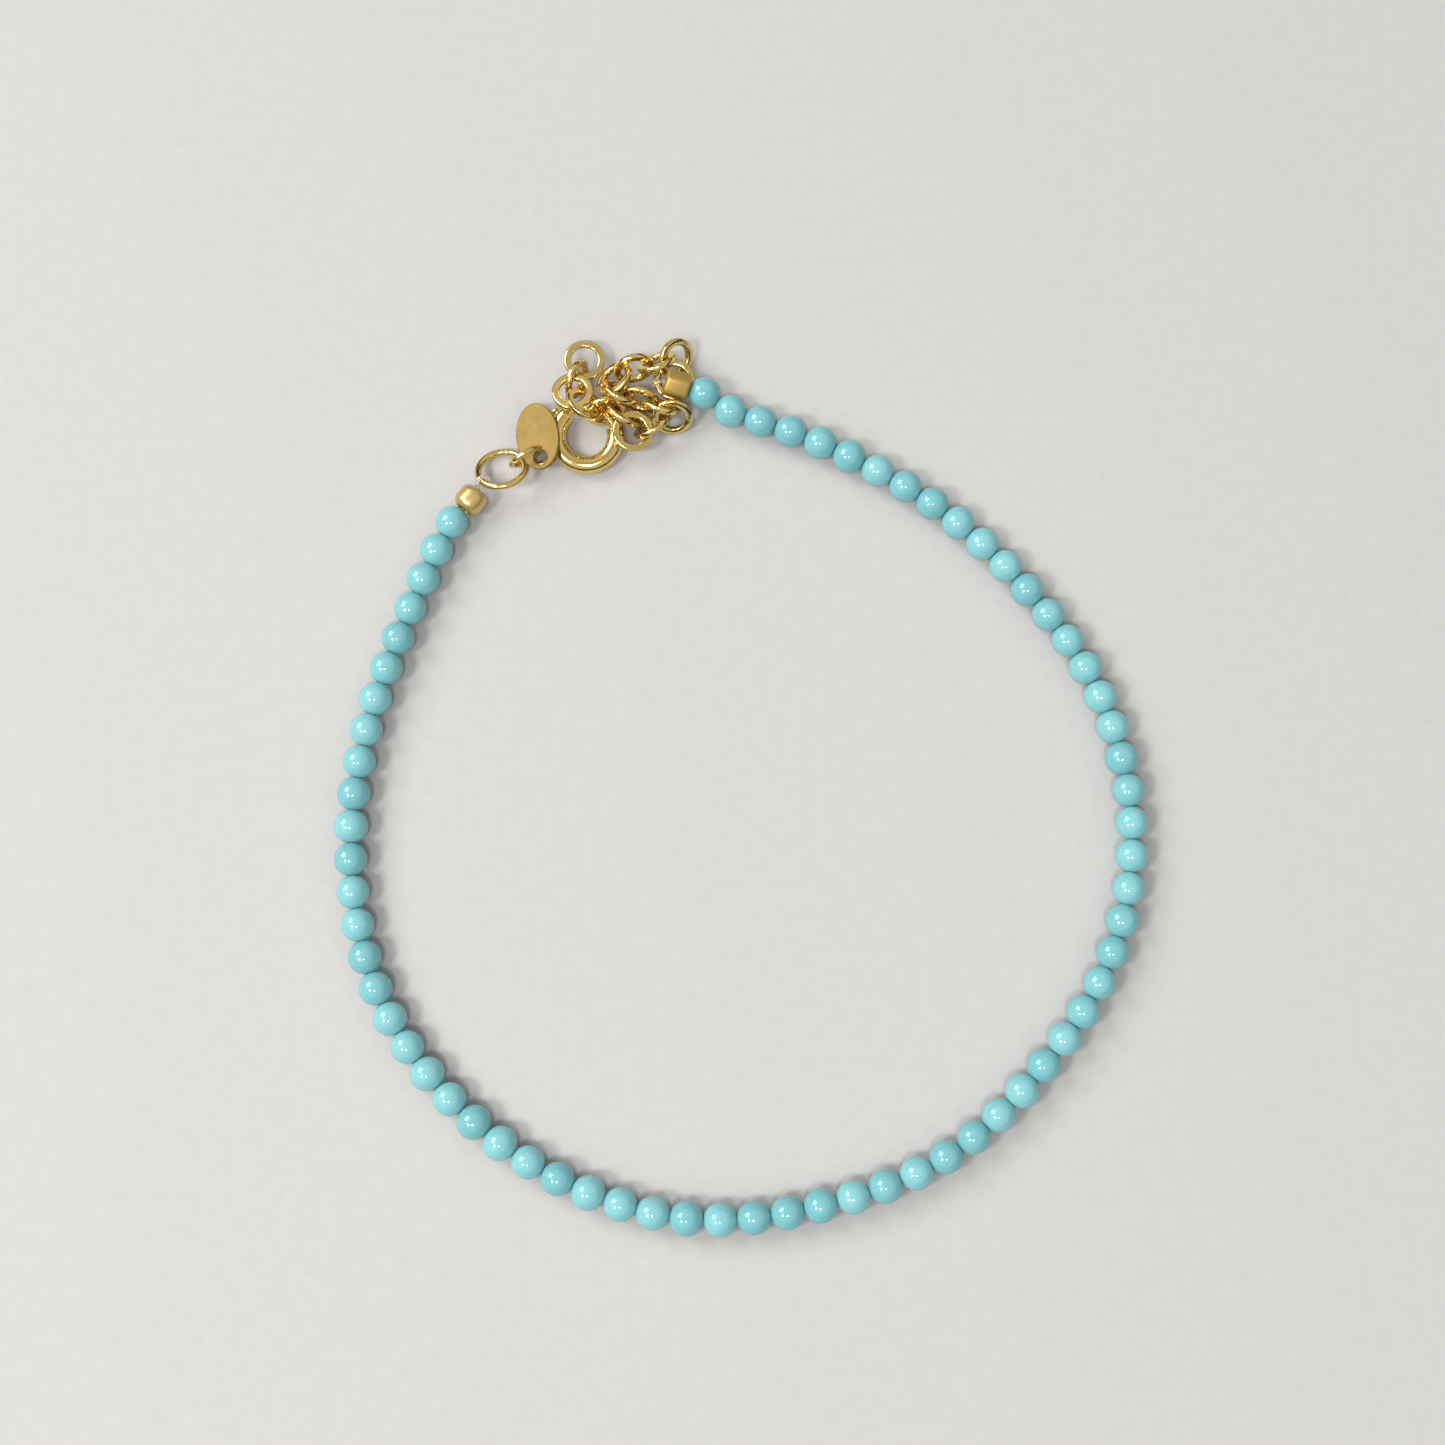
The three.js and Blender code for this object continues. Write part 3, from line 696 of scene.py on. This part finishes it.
class Nodes:
    """A material's node tree, with short ways to add to it."""

    def __init__(self, name):
        self.material = bpy.data.materials.new(name)
        self.material.use_nodes = True
        self.tree = self.material.node_tree
        self.shader = self.tree.nodes["Principled BSDF"]

    def add(self, kind, **sockets):
        node = self.tree.nodes.new(kind)
        for name, value in sockets.items():
            node.inputs[name].default_value = value
        return node

    def link(self, source, target):
        self.tree.links.new(source, target)

    def noise(self, scale, detail=2.0):
        """A noise in the object's own metres; scale is in waves a metre."""
        place = self.add("ShaderNodeTexCoord")
        noise = self.add("ShaderNodeTexNoise", Scale=scale, Detail=detail)
        self.link(place.outputs["Object"], noise.inputs["Vector"])
        return noise.outputs["Fac"]

    def ramp(self, source, low, high):
        """A colour that goes from low to high as the source crosses the middle of its range."""
        ramp = self.add("ShaderNodeValToRGB")
        for stop, place, colour in zip(ramp.color_ramp.elements, RAMP_RANGE, (low, high)):
            stop.position = place
            stop.color = colour
        self.link(source, ramp.inputs["Fac"])
        return ramp.outputs["Color"]

    def grey_ramp(self, source, low, high):
        """A number that goes from low to high in the same way."""
        return self.ramp(source, (low, low, low, 1), (high, high, high, 1))

    def bump(self, source, depth):
        """Raises the surface by at most this depth, in metres."""
        bump = self.add("ShaderNodeBump", Strength=1.0, Distance=depth)
        self.link(source, bump.inputs["Height"])
        self.link(bump.outputs["Normal"], self.shader.inputs["Normal"])


@cache
def turquoise():
    """Glossy opaque turquoise; each bead has its own tone, and a faint cloudiness."""
    nodes = Nodes("turquoise")
    tone = nodes.add("ShaderNodeAttribute")
    tone.attribute_name = "tone"
    base = nodes.ramp(tone.outputs["Fac"], (0.165, 0.42, 0.45, 1), (0.205, 0.48, 0.505, 1))
    cloud = nodes.noise(STONE_CLOUDS, detail=4)
    cloud = nodes.ramp(cloud, (0.93, 0.95, 0.95, 1), (1.0, 1.0, 1.0, 1))
    mix = nodes.add("ShaderNodeMix")
    mix.data_type = "RGBA"
    mix.blend_type = "MULTIPLY"
    mix.inputs["Factor"].default_value = 1.0
    nodes.link(base, mix.inputs["A"])
    nodes.link(cloud, mix.inputs["B"])
    nodes.link(mix.outputs["Result"], nodes.shader.inputs["Base Color"])
    gloss = nodes.grey_ramp(nodes.noise(STONE_GLOSS), 0.04, 0.065)
    nodes.link(gloss, nodes.shader.inputs["Roughness"])
    nodes.bump(nodes.noise(STONE_RIPPLES, detail=3), depth=0.0000005)
    return nodes.material


def metal(name, dark, light, smooth, rough, dent, metallic=1.0, lacquer=0.0):
    """A gold plating: its colour and gloss vary a little, with shallow dents in it."""
    nodes = Nodes(name)
    nodes.shader.inputs["Metallic"].default_value = metallic
    nodes.shader.inputs["Coat Weight"].default_value = lacquer
    tones = nodes.ramp(nodes.noise(PLATING_TONES, detail=3), dark, light)
    nodes.link(tones, nodes.shader.inputs["Base Color"])
    gloss = nodes.grey_ramp(nodes.noise(PLATING_GLOSS, detail=3), smooth, rough)
    nodes.link(gloss, nodes.shader.inputs["Roughness"])
    nodes.bump(nodes.noise(PLATING_DENTS, detail=3), depth=dent)
    return nodes.material


@cache
def gold():
    """The polished pale gold of the chain, rings and clasp, under a clear lacquer."""
    return metal(
        "gold",
        dark=(0.74, 0.525, 0.16, 1),
        light=(0.83, 0.625, 0.24, 1),
        smooth=0.1,
        rough=0.2,
        dent=0.00002,
        lacquer=0.35,
    )


@cache
def satin_gold():
    """The dull gold of the flat tag."""
    return metal(
        "satin_gold",
        dark=(0.24, 0.152, 0.028, 1),
        light=(0.28, 0.18, 0.036, 1),
        smooth=0.5,
        rough=0.6,
        dent=0.000004,
        metallic=0.4,
    )


@cache
def pressed_gold():
    """The brushed gold of the crimp bead with flat faces."""
    return metal(
        "pressed_gold",
        dark=(0.44, 0.29, 0.07, 1),
        light=(0.5, 0.335, 0.085, 1),
        smooth=0.35,
        rough=0.45,
        dent=0.000006,
        metallic=0.6,
    )


@cache
def brushed_gold():
    """The soft pale gold of the round crimp bead."""
    return metal(
        "brushed_gold",
        dark=(0.6, 0.43, 0.16, 1),
        light=(0.66, 0.475, 0.185, 1),
        smooth=0.3,
        rough=0.4,
        dent=0.000006,
        metallic=0.8,
        lacquer=0.3,
    )


@cache
def clear_nylon():
    """The clear thread."""
    nodes = Nodes("clear_nylon")
    nodes.shader.inputs["Base Color"].default_value = (0.93, 0.95, 0.95, 1)
    nodes.shader.inputs["Transmission Weight"].default_value = 0.85
    nodes.shader.inputs["IOR"].default_value = 1.5
    gloss = nodes.grey_ramp(nodes.noise(NYLON_GLOSS), 0.1, 0.25)
    nodes.link(gloss, nodes.shader.inputs["Roughness"])
    return nodes.material


@cache
def pale_floor():
    """The plain pale floor."""
    nodes = Nodes("pale_floor")
    tones = nodes.noise(FLOOR_TONES, detail=4)
    tones = nodes.ramp(tones, (0.44, 0.43, 0.415, 1), (0.46, 0.45, 0.435, 1))
    nodes.link(tones, nodes.shader.inputs["Base Color"])
    nodes.shader.inputs["Roughness"].default_value = 0.9
    return nodes.material


def floor():
    """The floor that the bracelet lies on, which belongs to the stage."""
    bpy.ops.mesh.primitive_plane_add(size=FLOOR_SIZE)
    plane = new_piece("floor")
    plane.data.materials.append(pale_floor())


def soft_light(name, direction, distance, size, power):
    """A square area light that shines on the bracelet from a direction."""
    back = Vector(direction).normalized()
    bpy.ops.object.light_add(type="AREA", location=back * distance)
    light = bpy.context.object
    light.name = name
    light.data.size = size
    light.data.energy = power
    light.rotation_euler = back.to_track_quat("Z", "Y").to_euler()


def sky_elements(color_ramp):
    """As many stops in the sky's ramp as SKY_GREYS has."""
    while len(color_ramp.elements) < len(SKY_GREYS):
        color_ramp.elements.new(1.0)
    return color_ramp.elements


def studio():
    """The lights, and a sky whose brightness goes by height."""
    for light in LIGHTS:
        soft_light(*light)
    world = bpy.data.worlds.new("studio")
    bpy.context.scene.world = world
    world.use_nodes = True
    tree = world.node_tree
    place = tree.nodes.new("ShaderNodeTexCoord")
    split = tree.nodes.new("ShaderNodeSeparateXYZ")
    ramp = tree.nodes.new("ShaderNodeValToRGB")
    for element, (height, grey) in zip(sky_elements(ramp.color_ramp), SKY_GREYS):
        element.position = height
        element.color = (grey, grey, grey, 1)
    tree.links.new(place.outputs["Generated"], split.inputs["Vector"])
    tree.links.new(split.outputs["Z"], ramp.inputs["Fac"])
    tree.links.new(ramp.outputs["Color"], tree.nodes["Background"].inputs["Color"])
    tree.nodes["Background"].inputs["Strength"].default_value = SKY_STRENGTH


def camera():
    """The camera, at the photograph's viewing angle and distance."""
    rise = math.radians(CAMERA_ELEVATION)
    back = Vector((0, -math.cos(rise), math.sin(rise)))
    bpy.ops.object.camera_add(location=CAMERA_AIM + back * CAMERA_DISTANCE)
    cam = bpy.context.object
    cam.rotation_euler = back.to_track_quat("Z", "Y").to_euler()
    cam.data.lens = CAMERA_LENS
    cam.data.sensor_width = CAMERA_SENSOR
    cam.data.clip_start = CAMERA_NEAR
    bpy.context.scene.camera = cam


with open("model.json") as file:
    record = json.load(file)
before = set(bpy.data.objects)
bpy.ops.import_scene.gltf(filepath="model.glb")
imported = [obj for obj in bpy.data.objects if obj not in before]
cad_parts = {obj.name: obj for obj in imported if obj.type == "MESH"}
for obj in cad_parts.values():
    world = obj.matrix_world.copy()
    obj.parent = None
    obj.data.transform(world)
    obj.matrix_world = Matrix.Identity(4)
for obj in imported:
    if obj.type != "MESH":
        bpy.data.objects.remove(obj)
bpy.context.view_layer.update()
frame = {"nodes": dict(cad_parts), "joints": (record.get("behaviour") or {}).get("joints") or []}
string = StringLine(STRING_ROUTE)

deselect_all()
beads()
thread()
crimp_bead(False, CRIMP_FACES, CRIMP_FACE_ROUNDING, FULL_SEGMENTS, pressed_gold())
crimp_bead(
    True, CRIMP_BARREL_SIDES, CRIMP_BARREL_ROUNDING, CRIMP_BARREL_SEGMENTS, brushed_gold()
)
chain()
wire_ring("jump_ring", JUMP_RADIUS, JUMP_WIRE, JUMP_CUT)
wire_ring("tag_ring", TAG_RING_RADIUS, TAG_RING_WIRE, TAG_RING_CUT)
oval_tag()
clasp_body()
clasp_gate()

floor()
studio()
camera()
bpy.context.scene.view_settings.view_transform = "Standard"
